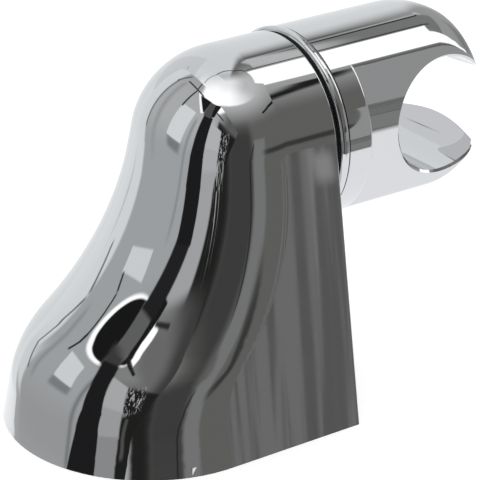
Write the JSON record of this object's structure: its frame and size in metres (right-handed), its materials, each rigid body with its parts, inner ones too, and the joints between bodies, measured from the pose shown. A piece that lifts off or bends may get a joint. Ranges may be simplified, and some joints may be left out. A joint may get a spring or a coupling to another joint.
{
  "type": "hand shower holder",
  "caption": "Chromed wall bracket with a flared hollow foot and a domed barrel that carries a swivelling open-jawed cradle for a hand shower's cone.",
  "frame": {"origin": "on the wall face, midway between the two wall screw holes", "axes": "+Z out of the wall, +X along the swivel axis towards the cradle; on a wall Y is vertical and -Y points up"},
  "size_m": [0.0978, 0.056, 0.0712],
  "materials": {
    "chrome_plate": "mirror polished chrome plate on a zinc casting",
    "zinc_casting": "bare die-cast zinc, satin",
    "stainless_steel": "turned stainless steel",
    "white_acetal": "moulded acetal",
    "black_nylon": "moulded nylon"
  },
  "bodies": {
    "bracket": {"bracket_body": "chrome_plate", "wall_plate": "zinc_casting", "grub_screw": "stainless_steel", "pivot_bush": "white_acetal", "friction_washer": "black_nylon", "pivot_screw": "stainless_steel", "lock_nut": "stainless_steel"},
    "cradle": {"cradle": "chrome_plate", "swivel_ring": "chrome_plate", "flat_washer": "stainless_steel", "cone_spring": "stainless_steel"}
  },
  "joints": [
    {"name": "cradle_swivel", "type": "hinge", "parent": "bracket", "child": "cradle", "pos_m": [0.0292, 0, 0.0522], "axis": [1, 0, 0], "continuous": true}
  ]
}
